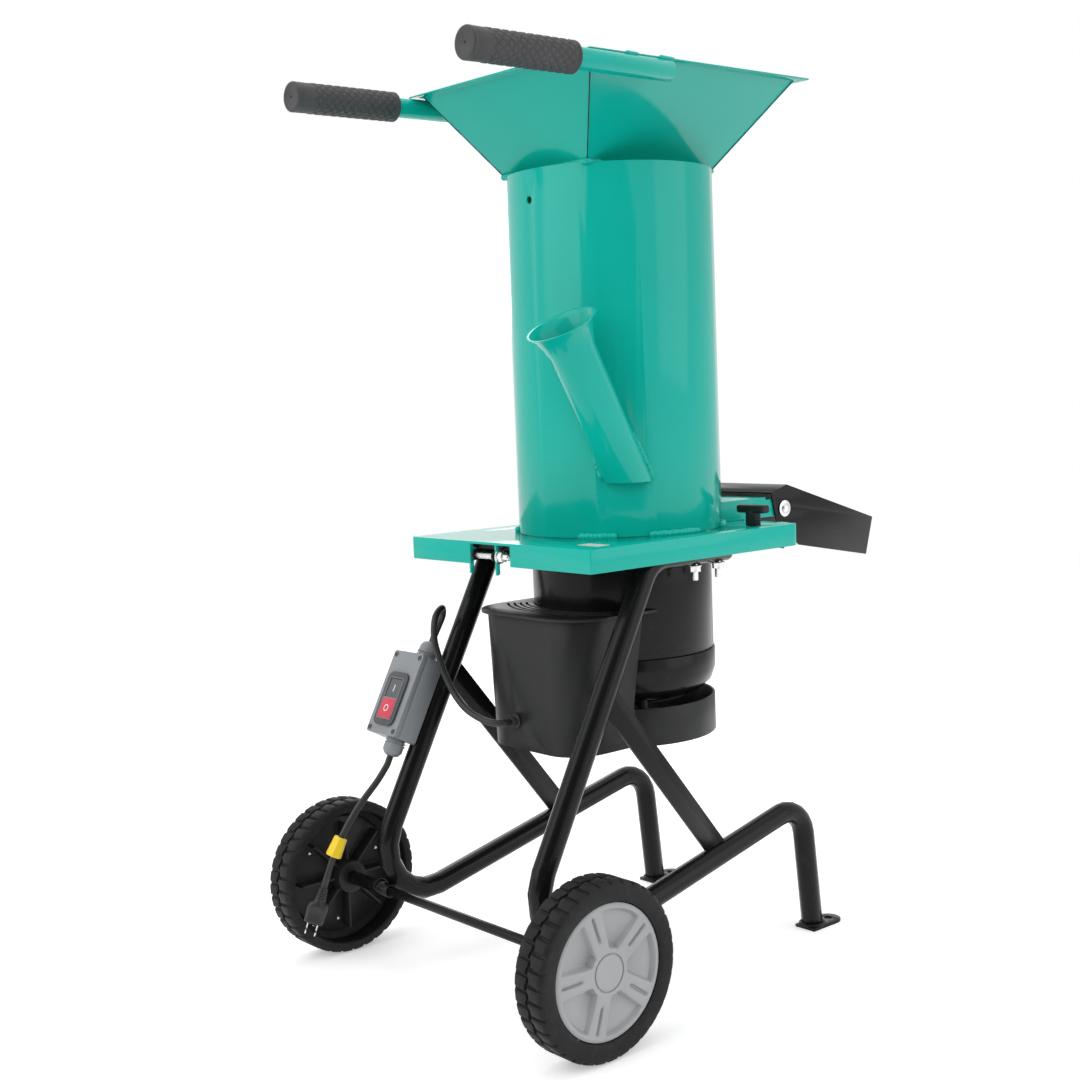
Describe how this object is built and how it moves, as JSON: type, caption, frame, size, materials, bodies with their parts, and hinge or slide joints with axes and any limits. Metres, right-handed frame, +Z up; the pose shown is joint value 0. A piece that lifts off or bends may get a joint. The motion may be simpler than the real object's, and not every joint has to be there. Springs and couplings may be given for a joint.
{
  "type": "wood chipper",
  "caption": "Electric wood chipper with square hopper, flared side tube, upright drum, vertical motor and tilting chip deflector, on a two-wheeled tube frame.",
  "frame": {"origin": "middle of the footprint of the whole machine without its mains cord, on the ground", "axes": "+Z up, +Y from the handles and wheels towards the discharge, +X to the right of someone who stands at the handles"},
  "size_m": [0.5426, 0.8156, 1.1077],
  "materials": {
    "green_enamel": "glossy",
    "black_enamel": "glossy",
    "black_plastic": "matte",
    "grey_trim": "satin",
    "box_grey": "satin",
    "dark_grey_plastic": "satin",
    "button_grey": "satin",
    "button_red": "satin",
    "tyre_rubber": "matte",
    "grip_rubber": "matte",
    "cable_rubber": "satin",
    "yellow_tag": "satin",
    "zinc_plate": "satin",
    "tool_steel": "machined",
    "winding_stack": "matte",
    "capacitor_can": "satin"
  },
  "bodies": {
    "frame": {"left_side_tube": "black_enamel", "right_side_tube": "black_enamel", "left_brace": "black_enamel", "right_brace": "black_enamel", "left_foot_plate": "black_enamel", "right_foot_plate": "black_enamel", "axle": "black_enamel", "left_axle_sleeve": "black_enamel", "right_axle_sleeve": "black_enamel", "bottom_plate": "black_enamel", "plate_bolt_1": "zinc_plate", "plate_bolt_2": "zinc_plate", "plate_bolt_3": "zinc_plate", "plate_bolt_4": "zinc_plate", "hinge_bolt": "zinc_plate", "motor_housing": "black_enamel", "motor_end_cover": "black_enamel", "stator": "winding_stack", "motor_cover": "black_plastic", "cover_lid": "black_plastic", "cable_grommet": "cable_rubber", "capacitor": "capacitor_can", "switch_box": "box_grey", "switch_cover": "box_grey", "switch_bezel": "dark_grey_plastic", "upper_gland": "box_grey", "lower_gland": "box_grey", "motor_lead": "cable_rubber", "power_cord": "cable_rubber", "cord_tag": "yellow_tag", "plug": "cable_rubber", "plug_blades": "zinc_plate"},
    "left_wheel": {"left_tyre": "tyre_rubber", "left_wheel_body": "black_plastic", "left_wheel_trim": "grey_trim"},
    "right_wheel": {"right_tyre": "tyre_rubber", "right_wheel_body": "black_plastic", "right_wheel_trim": "grey_trim"},
    "rotor": {"motor_shaft": "tool_steel", "rotor_core": "tool_steel", "cooling_fan": "black_plastic", "cutter_disc": "tool_steel", "blade_1": "tool_steel", "blade_2": "tool_steel", "disc_nut": "zinc_plate"},
    "hood": {"hood_pan": "green_enamel", "drum": "green_enamel", "hopper": "green_enamel", "branch_tube": "green_enamel", "left_handle_tube": "green_enamel", "right_handle_tube": "green_enamel", "left_grip": "grip_rubber", "right_grip": "grip_rubber", "discharge_housing": "green_enamel", "left_deflector_bolt": "zinc_plate", "right_deflector_bolt": "zinc_plate"},
    "deflector": {"deflector": "black_enamel"},
    "clamp_knob": {"clamp_knob": "black_plastic"},
    "start_button": {"start_button": "button_grey"},
    "stop_button": {"stop_button": "button_red"}
  },
  "joints": [
    {"name": "left_wheel_spin", "type": "hinge", "parent": "frame", "child": "left_wheel", "pos_m": [-0.248, -0.30775, 0.1], "axis": [1, 0, 0], "continuous": true},
    {"name": "right_wheel_spin", "type": "hinge", "parent": "frame", "child": "right_wheel", "pos_m": [0.248, -0.30775, 0.1], "axis": [1, 0, 0], "continuous": true},
    {"name": "rotor_spin", "type": "hinge", "parent": "frame", "child": "rotor", "pos_m": [0, -0.01525, 0.336], "axis": [0, 0, 1], "continuous": true},
    {"name": "hood_hinge", "type": "hinge", "parent": "frame", "child": "hood", "pos_m": [-0.0265, -0.21875, 0.527], "axis": [1, 0, 0], "range_deg": [0, 90]},
    {"name": "deflector_hinge", "type": "hinge", "parent": "hood", "child": "deflector", "pos_m": [0, 0.21675, 0.554], "axis": [1, 0, 0], "range_deg": [-15, 12]},
    {"name": "clamp_knob_turn", "type": "hinge", "parent": "hood", "child": "clamp_knob", "pos_m": [0.14, 0.08475, 0.5445], "axis": [0, 0, 1], "continuous": true},
    {"name": "start_button_press", "type": "slide", "parent": "frame", "child": "start_button", "axis": [0, -0.8802, 0.4747], "range_m": [-0.003, 0], "stiffness_N_per_m": 300, "springref_m": 0.003},
    {"name": "stop_button_press", "type": "slide", "parent": "frame", "child": "stop_button", "axis": [0, -0.8802, 0.4747], "range_m": [-0.003, 0], "stiffness_N_per_m": 300, "springref_m": 0.003}
  ]
}
